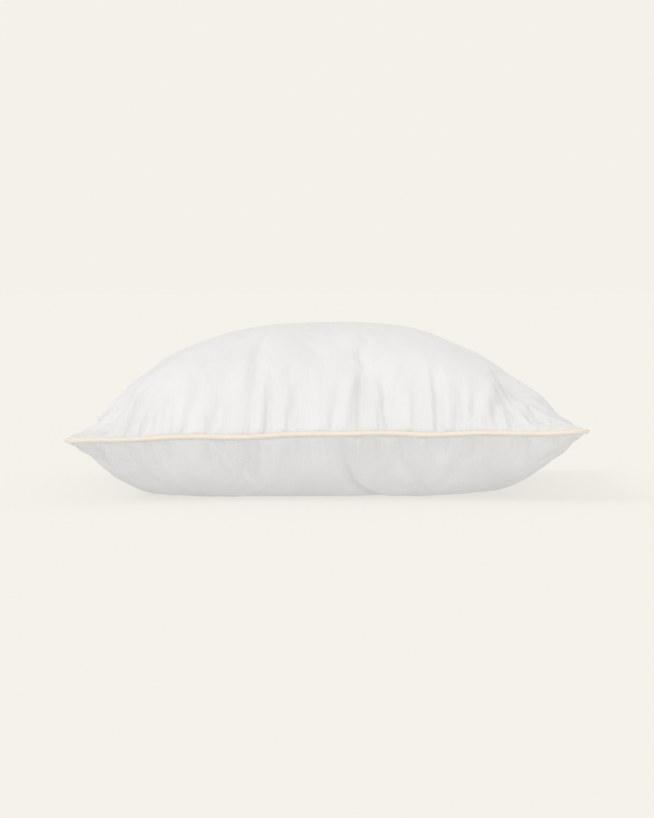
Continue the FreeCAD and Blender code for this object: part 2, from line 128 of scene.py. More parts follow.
# %% [markdown]
# ## The filled shape
# The down pushes the panels out most in the middle and not at all at the seam. A power curve
# across each direction gives that swell, and the product of the two leaves the corners thin,
# which is what makes the ears of a pillow. The seam itself is not quite level: the pillow leans
# a little, and its edge waves where the filling is uneven.

# %% Swell the two panels
LEAN = 0.0045


def swell(t, power, sharpness):
    """0 at the seams and 1 in the middle."""
    return (1 - np.abs(t) ** power) ** sharpness


def seam_level(u, v):
    """Height of the seam's middle surface."""
    waves = 0.0010 * np.sin(9.0 * u + 1.3) + 0.0007 * np.sin(17.0 * u + 2.1 * v)
    bow = 0.0020 * (1 - u ** 2)
    short_side_waves = 0.0012 * np.sin(8.0 * v) * np.abs(u) ** 3
    return SEAM_HEIGHT + LEAN * u + (waves + bow) * np.abs(v) + short_side_waves


def step_up(t, start, end):
    """A smooth step from 0 to 1."""
    share = np.clip((t - start) / (end - start), 0, 1)
    return share * share * (3 - 2 * share)


def filled_shape(u, v, side):
    """Points of the top panel (side 1) or the bottom panel (side -1) before any crease."""
    x, y = outline_place(u, v)
    if side > 0:
        slack_on_right = 0.09 * np.exp(-((u - 0.66) / 0.16) ** 2)
        height = (CROWN - SEAM_STEP - SEAM_BULK) * (swell(u, 3.4, 1.3) - slack_on_right)
        height = height * swell(v, 3.6, 1.0)
    else:
        height = 1.10 * BELLY * swell(u, 5.0, 0.85) * swell(v, 3.8, 0.95)
    return np.stack([x, y, seam_level(u, v) + side * height], axis=-1)


top_shape = filled_shape(u_grid, v_grid, 1)
bottom_shape = filled_shape(u_grid, v_grid, -1)
print(f"filled: top {top_shape[..., 2].max():.3f}, bottom {bottom_shape[..., 2].min():.3f}")

# %% [markdown]
# ## Creases that the sewing leaves
# Thread tension gathers the cloth along the seam, so it stands in small ridges square to the
# piping, some short and some reaching far up the panel. Drawing each one by hand would be slow
# and would look it. A seeded loop scatters them with uneven lengths, widths and slants, and the
# simulation that follows lets the cloth settle round them.

# %% Scatter the creases
def surface_normals(points):
    """Unit normals of a grid of points, upwards for a level grid."""
    along = np.gradient(points, axis=0)
    across = np.gradient(points, axis=1)
    normal = np.cross(along, across)
    length = np.linalg.norm(normal, axis=-1, keepdims=True)
    return normal / np.maximum(length, 1e-9)


# front, back, left and right: the axis that runs across the side, and which way is out
SIDES = ((1, -1), (1, 1), (0, -1), (0, 1))


def side_distances(points, across_axis, direction):
    """Distance of each point from one side, and its place along that side."""
    half = HALF_WIDTH if across_axis == 1 else HALF_LENGTH
    inward = half - direction * points[..., across_axis]
    return inward, points[..., 1 - across_axis]


def scatter_creases(points, seed, spacing, start, length, width, height, bend):
    """Ridges with a valley beside each, as a height above the cloth; the ears stay calm.

    start, length, width and height are the ranges that the draws come from.
    """
    draws = np.random.default_rng(seed)
    total = np.zeros(points.shape[:2])
    for across_axis, direction in SIDES:
        inward, along = side_distances(points, across_axis, direction)
        half = HALF_LENGTH if across_axis == 1 else HALF_WIDTH
        near_side = step_up(inward, 0.0, 0.006) * (inward < 0.2)
        for number in range(int(2 * half / spacing)):
            place = -half + (number + draws.uniform(0.0, 1.0)) * spacing
            begins = draws.uniform(*start)
            reach = draws.uniform(*length) * draws.uniform(0.6, 1.0)
            spread = draws.uniform(*width) * (1 + 0.8 * inward / length[1])
            top = draws.uniform(*height) * draws.choice((-1.0, 1.0, 1.0, 1.0))
            slant = draws.normal(0.0, 0.14) + 0.30 * place / half
            line = along - place + slant * inward + draws.normal(0.0, bend) * inward ** 2
            valley_side = draws.choice((-1.0, 1.0))
            ridge = np.exp(-(line / spread) ** 2)
            valley = 0.4 * np.exp(-((line + valley_side * 2.0 * spread) / (1.5 * spread)) ** 2)
            fade = np.exp(-((inward - begins) / reach) ** 2)
            total += near_side * top * (ridge - valley) * fade
    to_corner = np.hypot(HALF_LENGTH - np.abs(points[..., 0]), HALF_WIDTH - np.abs(points[..., 1]))
    return total * (1 - 0.8 * np.exp(-(to_corner / 0.055) ** 2))


def push_out(points, side, height):
    """Moves a panel's points outwards by a height; the seam itself stays."""
    step = np.ones(points.shape[:2])
    step[0, :] = step[-1, :] = step[:, 0] = step[:, -1] = 0
    return points + side * surface_normals(points) * (height * step)[..., None]


FOLDS = dict(spacing=0.019, start=(0.0, 0.06), length=(0.03, 0.07), width=(0.0045, 0.0080),
             height=(0.0012, 0.0028), bend=3.0)
top_creased = push_out(top_shape, 1, scatter_creases(top_shape, 11, **FOLDS))
bottom_creased = push_out(bottom_shape, -1, scatter_creases(bottom_shape, 23, **FOLDS))
print("creases added")

# %% [markdown]
# ## Let the cloth settle
# Both panels are welded at the seam and become one closed bag. Blender's Cloth then inflates it
# a little, as the down does, while the seam shrinks by a few percent, as the sewing thread and
# the stiff cord make it do. The panels have more cloth than the seam now wants, so they buckle
# into puckers by themselves. The result is applied to the points, and no simulation stays in the
# file. The broad part of the movement is held back, so that the pillow keeps its size.

# %% Simulate the bag
SEAM_SHRINK = 0.035
PANEL_EASE = -0.012
PRESSURE = 2.0
FRAMES = 16


def bag_numbers(shape):
    """Vertex numbers of the two grids of a bag; they share the seam's."""
    top = np.arange(shape[0] * shape[1]).reshape(shape)
    bottom = top.copy()
    inner = np.zeros(shape, bool)
    inner[1:-1, 1:-1] = True
    bottom[inner] = top.size + np.arange(inner.sum())
    return top, bottom, inner


def grid_faces(numbers, upward=True):
    """Four-sided faces over a grid of vertex numbers."""
    a, b, c, d = numbers[:-1, :-1], numbers[1:, :-1], numbers[1:, 1:], numbers[:-1, 1:]
    order = (a, b, c, d) if upward else (a, d, c, b)
    return np.stack(order, axis=-1).reshape(-1, 4)


def new_piece(name, points, faces):
    """A Blender object from points and faces, smooth shaded, at the origin."""
    mesh = bpy.data.meshes.new(name)
    mesh.from_pydata([tuple(point) for point in points], [], [tuple(face) for face in faces])
    mesh.update()
    mesh.polygons.foreach_set("use_smooth", [True] * len(mesh.polygons))
    piece = bpy.data.objects.new(name, mesh)
    scene.collection.objects.link(piece)
    return piece


def simulate_bag(top_points, bottom_points):
    """The two panels after Blender's Cloth has settled them."""
    top, bottom, inner = bag_numbers(top_points.shape[:2])
    points = np.concatenate([top_points.reshape(-1, 3), bottom_points[inner]])
    faces = np.concatenate([grid_faces(top, True), grid_faces(bottom, False)])
    bag = new_piece("bag", points, faces)
    seam = bag.vertex_groups.new(name="seam")
    seam.add([int(n) for n in top[~inner]], 1.0, "REPLACE")
    cloth = bag.modifiers.new("Cloth", "CLOTH")
    settings = cloth.settings
    settings.quality = 5
    settings.mass = 0.3 / len(points)
    settings.tension_stiffness = 15
    settings.compression_stiffness = 15
    settings.shear_stiffness = 5
    settings.bending_stiffness = 0.02
    settings.air_damping = 1
    settings.vertex_group_shrink = "seam"
    settings.shrink_min = PANEL_EASE
    settings.shrink_max = SEAM_SHRINK
    settings.use_pressure = True
    settings.uniform_pressure_force = PRESSURE
    settings.effector_weights.gravity = 0
    cloth.point_cache.frame_start = 1
    cloth.point_cache.frame_end = FRAMES
    for number in range(FRAMES):
        scene.frame_set(number + 1)
    settled = bag.evaluated_get(bpy.context.evaluated_depsgraph_get()).to_mesh()
    places = np.empty(len(points) * 3, np.float32)
    settled.vertices.foreach_get("co", places)
    places = places.reshape(-1, 3).astype(float)
    scene.frame_set(1)
    bpy.data.objects.remove(bag)
    return places[top], places[bottom]


def bell(steps):
    """Weights of a smoothing over about that many steps, and how far they reach."""
    reach = int(3 * steps)
    weights = np.exp(-0.5 * (np.arange(-reach, reach + 1) / steps) ** 2)
    return weights / weights.sum(), reach


def blur(field, cells):
    """A grid smoothed over about that many cells."""
    weights, reach = bell(cells)
    for axis in (0, 1):
        padding = [(0, 0)] * field.ndim
        padding[axis] = (reach, reach)
        padded = np.pad(field, padding, mode="edge")
        size = field.shape[axis]
        field = sum(w * np.take(padded, range(n, n + size), axis=axis) for n, w in enumerate(weights))
    return field


def hold_size(before, after):
    """Keeps the small creases of the settled cloth and drops its broad movement."""
    moved = blur(after - before, 0.7)
    return before + (moved - blur(moved, 7.0))


top_raw, bottom_raw = simulate_bag(top_creased, bottom_creased)
print(f"settled bag reaches z {bottom_raw[..., 2].min():.3f} to {top_raw[..., 2].max():.3f}")
top_settled = hold_size(top_creased, top_raw)
bottom_settled = hold_size(bottom_creased, bottom_raw)
seam_mean = (top_settled + bottom_settled) / 2
rim = np.ones(top_settled.shape[:2], bool)
rim[1:-1, 1:-1] = False
top_settled[rim] = seam_mean[rim]
bottom_settled[rim] = seam_mean[rim]

# %% [markdown]
# ## A finer cloth
# The simulation ran on cells of five millimetres. Halving them gives the close-up a smooth
# surface, and the finer grid can also carry the short puckers between the stitches, which the
# simulation was too coarse for. The seam is then evened out, because the stiff cord inside the
# piping does not follow every pucker.

# %% Refine the panels and even out the seam
def halve_cells(field):
    """Puts a point between every two, on the smooth curve through them."""
    for axis in (0, 1):
        field = np.moveaxis(field, axis, 0)
        before = np.concatenate([2 * field[:1] - field[1:2], field[:-2]])
        after = np.concatenate([field[2:], 2 * field[-1:] - field[-2:-1]])
        middle = (9 * (field[:-1] + field[1:]) - before - after) / 16
        finer = np.empty((2 * len(field) - 1,) + field.shape[1:])
        finer[0::2] = field
        finer[1::2] = middle
        field = np.moveaxis(finer, 0, axis)
    return field


def rim_loop(grid):
    """The outermost values of a grid, in order round the pillow, anticlockwise from above."""
    return np.concatenate([grid[:-1, 0], grid[-1, :-1], grid[:0:-1, -1], grid[0, :0:-1]])


def blur_loop(loop, steps):
    """A closed row of points smoothed over about that many steps."""
    weights, reach = bell(steps)
    return sum(w * np.roll(loop, n - reach, axis=0) for n, w in enumerate(weights))


def outward(loop):
    """Level unit vectors that point away from the pillow, square to the seam."""
    tangent = blur_loop(np.roll(loop, -1, axis=0) - np.roll(loop, 1, axis=0), 1.5)
    normal = np.stack([tangent[:, 1], -tangent[:, 0], np.zeros(len(loop))], axis=1)
    return normal / np.linalg.norm(normal, axis=1, keepdims=True)


def follow_rim(points, rim_move, reach_cells):
    """Moves the rim of a grid and lets the rows behind it follow, less and less."""
    rows, columns = points.shape[:2]
    i, j = np.meshgrid(np.arange(rows), np.arange(columns), indexing="ij")
    to_edges = np.stack([j, rows - 1 - i, columns - 1 - j, i])
    nearest = to_edges.argmin(axis=0)
    depth = to_edges.min(axis=0)
    starts = np.cumsum([0, rows - 1, columns - 1, rows - 1])
    run = (i, j, rows - 1 - i, columns - 1 - j)
    place = np.choose(nearest, [start + along for start, along in zip(starts, run)])
    share = np.exp(-(depth / reach_cells) ** 2)
    return points + rim_move[place % len(rim_move)] * share[..., None]


PUCKERS = dict(spacing=0.0100, start=(0.0, 0.012), length=(0.016, 0.050), width=(0.0018, 0.0028),
               height=(0.0012, 0.0030), bend=4.0)
top_fine = halve_cells(top_settled)
bottom_fine = halve_cells(bottom_settled)
top_fine = push_out(top_fine, 1, scatter_creases(top_fine, 61, **PUCKERS))
bottom_fine = push_out(bottom_fine, -1, scatter_creases(bottom_fine, 73, **PUCKERS))
raw_rim = rim_loop(top_fine)
plain_rim = rim_loop(halve_cells(top_shape))
waves_of_rim = blur_loop(raw_rim - plain_rim, 5.0)
seam_line = plain_rim + 0.5 * (waves_of_rim - blur_loop(waves_of_rim, 40.0))
seam_line = blur_loop(seam_line, 2.0)
seam_out = outward(seam_line)
top_fine = follow_rim(top_fine, seam_line - raw_rim, 5.0)
bottom_fine = follow_rim(bottom_fine, seam_line - raw_rim, 5.0)
fine_u, fine_v = grid_numbers(2 * CELLS_LONG, 2 * CELLS_WIDE)
seam_length = np.linalg.norm(seam_line - np.roll(seam_line, 1, axis=0), axis=1).sum()
print(f"seam of {seam_length:.3f} m, panel grid of {fine_u.shape[0]} by {fine_u.shape[1]} points")

# %% [markdown]
# ## Stack the plies of the seam
# A real seam is a stack: the flange of the piping lies in the middle, then the turned-in edges of
# the outer panels, then those of the core's ticking, and the thread runs on top. So each panel
# steps away from the seam before it swells, and it ends in a flat edge turned inwards. The foot
# is then pressed flat where it meets the floor.

# %% Set the panels on the seam
def edge_distance(u, v):
    """Rough distance of a grid point from the nearest seam."""
    return np.minimum((1 - np.abs(u)) * HALF_LENGTH, (1 - np.abs(v)) * HALF_WIDTH)


def off_the_seam(points, side, step, bulk, u, v):
    """Lifts a panel off the seam by a step, then by the bulk of the edges turned in under it."""
    lifted = points.copy()
    lifted[..., 2] += side * (step + bulk * (1 - np.exp(-edge_distance(u, v) / 0.004)))
    return lifted


def press_on_floor(points, floor, softness):
    """Rounds off whatever would go through the floor."""
    pressed = points.copy()
    height = points[..., 2] - floor
    pressed[..., 2] = (height + np.sqrt(height ** 2 + softness ** 2)) / 2
    pressed[..., 2] += floor - pressed[..., 2].min()
    return pressed


def seat(points, side):
    """Brings a panel to its place on the seam, with no fold dipping through the piping's flange."""
    level = seam_level(fine_u, fine_v)
    least = 0.0015 * (1 - np.exp(-edge_distance(fine_u, fine_v) / 0.004))
    height = side * (points[..., 2] - level) - least
    cleared = points.copy()
    cleared[..., 2] = level + side * (least + (height + np.sqrt(height ** 2 + 0.0010 ** 2)) / 2)
    cleared = follow_rim(cleared, seam_line - rim_loop(cleared), 1.0)
    return off_the_seam(cleared, side, SEAM_STEP, SEAM_BULK, fine_u, fine_v)


seam_in_wall = -seam_out * FABRIC / 2
top_wall = follow_rim(seat(top_fine, 1), seam_in_wall, 1.0)
bottom_wall = follow_rim(press_on_floor(seat(bottom_fine, -1), FABRIC / 2, 0.005), seam_in_wall, 1.0)
print(f"top panel reaches {top_wall[..., 2].max():.4f}, the foot lies at {bottom_wall[..., 2].min():.4f}")


def panel_piece(name, wall, side, rows, thickness):
    """A panel: its wall, then rows of the edge turned in below it, as (distance in, height)."""
    step = len(seam_line) // len(rim_loop(wall))
    seam, seam_normals = seam_line[::step], seam_out[::step]
    numbers = np.arange(wall.shape[0] * wall.shape[1]).reshape(wall.shape[:2])
    points = [wall.reshape(-1, 3)]
    faces = [grid_faces(numbers, side > 0)]
    u, v = grid_numbers(wall.shape[0] - 1, wall.shape[1] - 1)
    uvs = [np.stack([u.ravel() * CUT_HALF[0], v.ravel() * CUT_HALF[1]], axis=1)]
    loop = rim_loop(numbers)
    rim_uv = uvs[0][loop]
    next_number = numbers.size
    for inward, height in rows:
        row_points = seam - seam_normals * inward
        row_points[:, 2] += side * height
        row = next_number + np.arange(len(loop))
        next_number += len(loop)
        ahead, row_ahead = np.roll(loop, -1), np.roll(row, -1)
        order = (ahead, loop, row, row_ahead) if side > 0 else (loop, ahead, row_ahead, row)
        faces.append(np.stack(order, axis=1))
        points.append(row_points)
        uvs.append(rim_uv * (1 + (inward + 0.002) / CUT_HALF[1]))
        loop = row
    piece = new_piece(name, np.concatenate(points), np.concatenate(faces))
    add_uv(piece, np.concatenate(uvs))
    thicken(piece, thickness)
    return piece


def add_uv(piece, uvs):
    """A UV map in metres on the flat cut."""
    layer = piece.data.uv_layers.new(name="cut")
    corner_points = np.empty(len(piece.data.loops), np.int32)
    piece.data.loops.foreach_get("vertex_index", corner_points)
    layer.data.foreach_set("uv", uvs[corner_points].astype(np.float32).ravel())


def apply_modifiers(piece):
    """Turns a piece with modifiers into a plain mesh."""
    graph = bpy.context.evaluated_depsgraph_get()
    finished = bpy.data.meshes.new_from_object(piece.evaluated_get(graph))
    piece.modifiers.clear()
    piece.data = finished
    finished.name = piece.name
    finished.polygons.foreach_set("use_smooth", [True] * len(finished.polygons))
    finished.update()


def print_faces(*pieces):
    """Says how many faces each piece has."""
    print("; ".join(f"{piece.name} has {len(piece.data.polygons)} faces" for piece in pieces))


def thicken(piece, thickness):
    """Gives a sheet its thickness, half to each side, and closes its edges."""
    solid = piece.modifiers.new("Thickness", "SOLIDIFY")
    solid.thickness = thickness
    solid.offset = 0
    apply_modifiers(piece)


PANEL_ROWS = ((0.00025, 0.0013), (0.0009, 0.00075), (0.004, 0.00075), (0.008, 0.00075),
              (ALLOWANCE, 0.00075))
CUT_HALF = (CUT_LENGTH / 2 - ALLOWANCE, CUT_WIDTH / 2 - ALLOWANCE)
top_panel = panel_piece("pillow_top_panel", top_wall, 1, PANEL_ROWS, FABRIC)
bottom_panel = panel_piece("pillow_bottom_panel", bottom_wall, -1, PANEL_ROWS, FABRIC)
print_faces(top_panel, bottom_panel)

# %% [markdown]
# ## The core's ticking
# The feather core has a casing of its own, caught in the same seam. It follows the outer panels
# at a share of their height. Blurring the outer grid first gives the ticking its own calmer
# surface, since it is held by feathers on one side and down on the other.

# %% Make the core panels
CORE_INSET = 0.0026
CORE_SHARE_UP, CORE_SHARE_DOWN = 0.50, 0.56
CORE_FOLDS = dict(spacing=0.030, start=(0.0, 0.03), length=(0.03, 0.08), width=(0.007, 0.012),
                  height=(0.0005, 0.0014), bend=2.0)


def core_wall(outer, side, share, seed):
    """The core's grid: the outer wall, calmed, drawn in at the seam and lowered."""
    calm = blur(outer[::2, ::2], 3.0)
    u, v = grid_numbers(calm.shape[0] - 1, calm.shape[1] - 1)
    rim = seam_line[::2] - seam_out[::2] * CORE_INSET
    level = seam_level(u, v)
    height = side * (calm[..., 2] - level)
    edge = 1 - np.exp(-edge_distance(u, v) / 0.02)
    wall = calm.copy()
    wall[..., 2] = level + side * (share * np.maximum(height, 0) * edge)
    wall = push_out(wall, side, scatter_creases(wall, seed, **CORE_FOLDS))
    wall = follow_rim(wall, rim - rim_loop(wall), 3.0)
    return off_the_seam(wall, side, 0.00165, 0.0012, u, v)


CORE_ROWS = ((CORE_INSET, 0.00125), (0.006, 0.00125), (0.009, 0.00125), (ALLOWANCE, 0.00125))
core_top_wall = core_wall(top_wall, 1, CORE_SHARE_UP, 91)
core_bottom_wall = core_wall(bottom_wall, -1, CORE_SHARE_DOWN, 97)
core_top = panel_piece("core_top_panel_cloth", core_top_wall, 1, CORE_ROWS, CORE_FABRIC)
core_bottom = panel_piece("core_bottom_panel_cloth", core_bottom_wall, -1, CORE_ROWS, CORE_FABRIC)
print(f"core reaches from {core_bottom_wall[..., 2].min():.3f} to {core_top_wall[..., 2].max():.3f}")

# %% [markdown]
# ## Piping and its cord
# Piping is a strip of cloth folded round a cord, with both edges of the strip caught in the seam.
# Its section is one closed outline: out along the upper edge, round the cord and back along the
# lower edge, then the same way back on the inside. That outline is swept along the seam. The cord
# itself is three strands laid round each other.

# %% Sweep the piping and twist the cord
PIPING_STAND = COVER_RADIUS + 0.0003


def even_points(loop, count):
    """A closed row of points at equal steps."""
    steps = np.linalg.norm(np.roll(loop, -1, axis=0) - loop, axis=1)
    places = np.concatenate([[0], np.cumsum(steps)])
    closed = np.concatenate([loop, loop[:1]])
    wanted = np.arange(count) * places[-1] / count
    return np.stack([np.interp(wanted, places, closed[:, axis]) for axis in range(3)], axis=1), places[-1]


def arc_points(radius, start, end, count):
    """Points on an arc round the cord, as (distance out, height)."""
    return [(radius * math.cos(a), radius * math.sin(a)) for a in np.linspace(start, end, count)]


def piping_section():
    """The folded strip's outline as (distance out, height), seen from the cord's centre."""
    flange_end = -(PIPING_STAND + ALLOWANCE)
    half_gap = 0.00005
    outer_height = half_gap + COVER_FABRIC
    bore = COVER_RADIUS - COVER_FABRIC
    outer_start = math.pi - math.asin(outer_height / COVER_RADIUS)
    inner_start = math.pi - math.asin(half_gap / bore)
    flange = np.linspace(flange_end, -COVER_RADIUS * 1.15, 5)
    outer = [(d, outer_height) for d in flange]
    outer += arc_points(COVER_RADIUS, outer_start, -outer_start, 26)
    outer += [(d, -outer_height) for d in flange[::-1]]
    inner = [(d, -half_gap) for d in flange]
    inner += arc_points(bore, -inner_start, inner_start, 22)
    inner += [(d, half_gap) for d in flange[::-1]]
    return np.array(outer + inner)


def sweep_section(name, section, path, ripple):
    """A closed section swept round a closed path, rippling along the way."""
    normals = outward(path)
    count, size = len(path), len(section)
    shaped = section[None] * ripple[..., None]
    points = path[:, None] + normals[:, None] * shaped[..., :1]
    points[..., 2] += shaped[..., 1]
    numbers = np.arange(count * size).reshape(count, size)
    ahead = np.roll(numbers, -1, axis=0)
    around, both = np.roll(numbers, -1, axis=1), np.roll(ahead, -1, axis=1)
    faces = np.stack([numbers, ahead, both, around], axis=-1).reshape(-1, 4)
    piece = new_piece(name, points.reshape(-1, 3), faces)
    girth = np.cumsum(np.linalg.norm(np.roll(section, -1, axis=0) - section, axis=1))
    run = np.arange(count) * seam_length / count
    uvs = np.stack(np.meshgrid(run, girth, indexing="ij"), axis=-1).reshape(-1, 2)
    add_uv(piece, uvs)
    return piece


def cover_ripple(section, count, seed):
    """Small slanting wrinkles where the strip is bent round the cord."""
    draws = np.random.default_rng(seed)
    angle = np.arctan2(section[:, 1], section[:, 0])[None]
    run = np.arange(count)[:, None] * 2 * math.pi / count
    on_tube = (np.hypot(section[:, 0], section[:, 1]) < COVER_RADIUS * 1.02)[None]
    total = 0
    for _ in range(7):
        waves = draws.integers(90, 330)
        size = draws.uniform(0.4, 1.0)
        total = total + size * np.sin(waves * run + draws.uniform(1, 3) * angle + draws.uniform(0, 6))
    return 1 + 0.006 * total * on_tube


PIPING_STEPS, CORD_STEPS = 1300, 1500
piping_path, seam_length = even_points(seam_line + seam_out * PIPING_STAND, PIPING_STEPS)
section = piping_section()
ripple = cover_ripple(section, PIPING_STEPS, 5)
piping = sweep_section("piping_cover_cloth", section, piping_path, ripple)


def twisted_strands(name, path, radius, strands, pitch, sides):
    """Strands laid round each other along a closed path, as one object."""
    offset = radius / (1 + math.sin(math.pi / strands))
    strand_radius = 0.97 * (radius - offset)
    normals, up = outward(path), np.array([0, 0, 1.0])
    count = len(path)
    spin = np.arange(count) * 2 * math.pi * round(seam_length / pitch) / count
    points, faces = [], []
    for strand in range(strands):
        lay = spin + 2 * math.pi * strand / strands
        centre = path + offset * (np.cos(lay)[:, None] * normals + np.sin(lay)[:, None] * up)
        for side in range(sides):
            around = -2 * math.pi * side / sides
            points.append(centre + strand_radius * (math.cos(around) * normals + math.sin(around) * up))
        here = (strand * sides + np.arange(sides))[None] * count + np.arange(count)[:, None]
        ahead = np.roll(here, -1, axis=0)
        corners = (here, ahead, np.roll(ahead, -1, axis=1), np.roll(here, -1, axis=1))
        faces.append(np.stack(corners, axis=-1).reshape(-1, 4))
    return new_piece(name, np.concatenate(points), np.concatenate(faces))


cord_path, _ = even_points(piping_path, CORD_STEPS)
cord = twisted_strands("filler_cord_strands", cord_path, CORD_RADIUS, 3, 0.014, 8)
print_faces(piping, cord)

# %% [markdown]
# ## Rows of stitches, by Geometry Nodes
# A lockstitch row is one small arc of thread repeated every few millimetres. Geometry Nodes can
# draw the arc once and place it along the seam, so the pitch, the thread and the lean are named
# inputs and can be changed at any time. Each tree ends by making the instances real, and the
# result is turned into a plain mesh so that it travels with the part.

# %% Build the stitch trees
def new_tree(name, inputs):
    """A Geometry Nodes tree with named inputs; returns the tree and what its inputs give."""
    tree = bpy.data.node_groups.new(name, "GeometryNodeTree")
    for label, kind in (("Geometry", "Geometry"), *inputs):
        tree.interface.new_socket(label, in_out="INPUT", socket_type="NodeSocket" + kind)
    tree.interface.new_socket("Geometry", in_out="OUTPUT", socket_type="NodeSocketGeometry")
    return tree, tree.nodes.new("NodeGroupInput").outputs


def add_node(tree, kind, inputs=None, **settings):
    """A node with its settings; an input takes a value or another node's output."""
    node = tree.nodes.new(kind)
    for key, value in settings.items():
        setattr(node, key, value)
    for key, value in (inputs or {}).items():
        if isinstance(value, bpy.types.NodeSocket):
            tree.links.new(value, node.inputs[key])
        else:
            node.inputs[key].default_value = value
    return node


def first(tree, kind, inputs=None, **settings):
    """The first output of a new node."""
    return add_node(tree, kind, inputs, **settings).outputs[0]


def finish_tree(tree, placing, given, under=None):
    """Places instances, makes them real, joins what lies under them and sets the material."""
    placed = first(tree, "GeometryNodeInstanceOnPoints", placing)
    geometry = first(tree, "GeometryNodeRealizeInstances", {"Geometry": placed})
    if under is not None:
        both = add_node(tree, "GeometryNodeJoinGeometry", {"Geometry": geometry})
        tree.links.new(under, both.inputs["Geometry"])
        geometry = both.outputs[0]
    painted = first(tree, "GeometryNodeSetMaterial", {"Geometry": geometry, "Material": given["Material"]})
    add_node(tree, "NodeGroupOutput", {"Geometry": painted})


def place_along(tree, shape, given):
    """Repeats a shape along the path, turned with it."""
    curve = first(tree, "GeometryNodeMeshToCurve", {"Mesh": given["Geometry"]})
    points = add_node(tree, "GeometryNodeCurveToPoints", {"Curve": curve, "Length": given["Pitch"]},
                      mode="LENGTH")
    aim = first(tree, "FunctionNodeAlignRotationToVector", {"Vector": points.outputs["Tangent"]},
                axis="X", pivot_axis="Z")
    turn = first(tree, "ShaderNodeCombineXYZ", {"Z": given["Lean"]})
    lean = first(tree, "FunctionNodeRotateRotation", {"Rotation": aim, "Rotate By": turn},
                 rotation_space="LOCAL")
    finish_tree(tree, {"Points": points.outputs["Points"], "Instance": shape, "Rotation": lean}, given)


def thread_along(tree, curve, given, ends_closed):
    """A round thread along a curve."""
    section = first(tree, "GeometryNodeCurvePrimitiveCircle",
                    {"Resolution": 6, "Radius": given["Thread radius"]})
    return first(tree, "GeometryNodeCurveToMesh",
                 {"Curve": curve, "Profile Curve": section, "Fill Caps": ends_closed})


ROW_INPUTS = (("Pitch", "Float"), ("Lean", "Float"), ("Thread radius", "Float"), ("Width", "Float"),
              ("Height", "Float"), ("Material", "Material"))


def stitch_tree():
    """Short arcs of thread, one after another."""
    tree, given = new_tree("stitch row", ROW_INPUTS)
    ends = [first(tree, "ShaderNodeMath", {0: given["Width"], 1: share}, operation="MULTIPLY")
            for share in (-0.5, 0.5)]
    start, end = (first(tree, "ShaderNodeCombineXYZ", {"X": across}) for across in ends)
    middle = first(tree, "ShaderNodeCombineXYZ", {"Z": given["Height"]})
    arc = first(tree, "GeometryNodeCurveQuadraticBezier",
                {"Resolution": 6, "Start": start, "Middle": middle, "End": end})
    place_along(tree, thread_along(tree, arc, given, True), given)
    return tree


def overlock_tree():
    """Loops of thread that wrap the raw edge."""
    tree, given = new_tree("overlock row", ROW_INPUTS)
    ring = first(tree, "GeometryNodeCurvePrimitiveCircle", {"Resolution": 14, "Radius": 0.5})
    size = first(tree, "ShaderNodeCombineXYZ", {"X": given["Height"], "Y": given["Width"], "Z": 1.0})
    oval = first(tree, "GeometryNodeTransform", {"Geometry": ring, "Scale": size})
    upright = first(tree, "GeometryNodeTransform",
                    {"Geometry": oval, "Rotation": (0.0, math.radians(90), 0.0)})
    place_along(tree, thread_along(tree, upright, given, False), given)
    return tree


def run_tree(piece, tree, material, values):
    """Sets a tree's inputs on a piece, each by its socket, and makes the result a plain mesh."""
    nodes = piece.modifiers.new("Nodes", "NODES")
    nodes.node_group = tree
    sockets = {item.name: item.identifier for item in tree.interface.items_tree if item.in_out == "INPUT"}
    for label, value in values.items():
        nodes[sockets[label.replace("_", " ").capitalize()]] = value
    nodes[sockets["Material"]] = material
    apply_modifiers(piece)


def row_of(name, tree, path, closed, **values):
    """A row of thread: a tree run on a path."""
    mesh = bpy.data.meshes.new(name)
    count = len(path)
    edges = [(k, (k + 1) % count) for k in range(count if closed else count - 1)]
    mesh.from_pydata([tuple(point) for point in path], edges, [])
    piece = bpy.data.objects.new(name, mesh)
    scene.collection.objects.link(piece)
    run_tree(piece, tree, sewing_thread, values)
    return piece


lockstitch = stitch_tree()
overlock = overlock_tree()
print("trees:", lockstitch.name, "and", overlock.name)

# %% [markdown]
# ## Materials
# Everything on this pillow is near white, so the materials differ in how the light lies on them:
# the cotton is matt with a fine weave, the piping is a satin with a soft sheen, the thread is
# twisted. The weave follows the flat cut through the UV map, so it bends with the cloth as a real
# one does.

# %% Mix the materials
def new_material(name, colour, roughness, sheen=0.0, on_cut=False, sheen_roughness=0.5, subsurface=0.0):
    """A Principled material; returns it, its shader and its coordinates, in metres.

    The coordinates are those on the flat cut, through the UV map, or else the object's own.
    """
    material = bpy.data.materials.new(name)
    material.use_nodes = True
    tree = material.node_tree
    shader = tree.nodes["Principled BSDF"]
    constants = {"Base Color": (*colour, 1), "Roughness": roughness, "Sheen Weight": sheen,
                 "Sheen Roughness": sheen_roughness, "Specular IOR Level": 0.3}
    if subsurface:
        constants.update({"Subsurface Weight": subsurface, "Subsurface Scale": 1.0,
                          "Subsurface Radius": (0.004, 0.0035, 0.003)})
    for label, value in constants.items():
        shader.inputs[label].default_value = value
    if on_cut:
        return material, shader, first(tree, "ShaderNodeUVMap", uv_map="cut")
    return material, shader, add_node(tree, "ShaderNodeTexCoord").outputs["Object"]


def noise(place, scale, detail=3.0):
    """A noise from 0 to 1."""
    return add_node(place.id_data, "ShaderNodeTexNoise",
                    {"Vector": place, "Scale": scale, "Detail": detail}).outputs["Fac"]


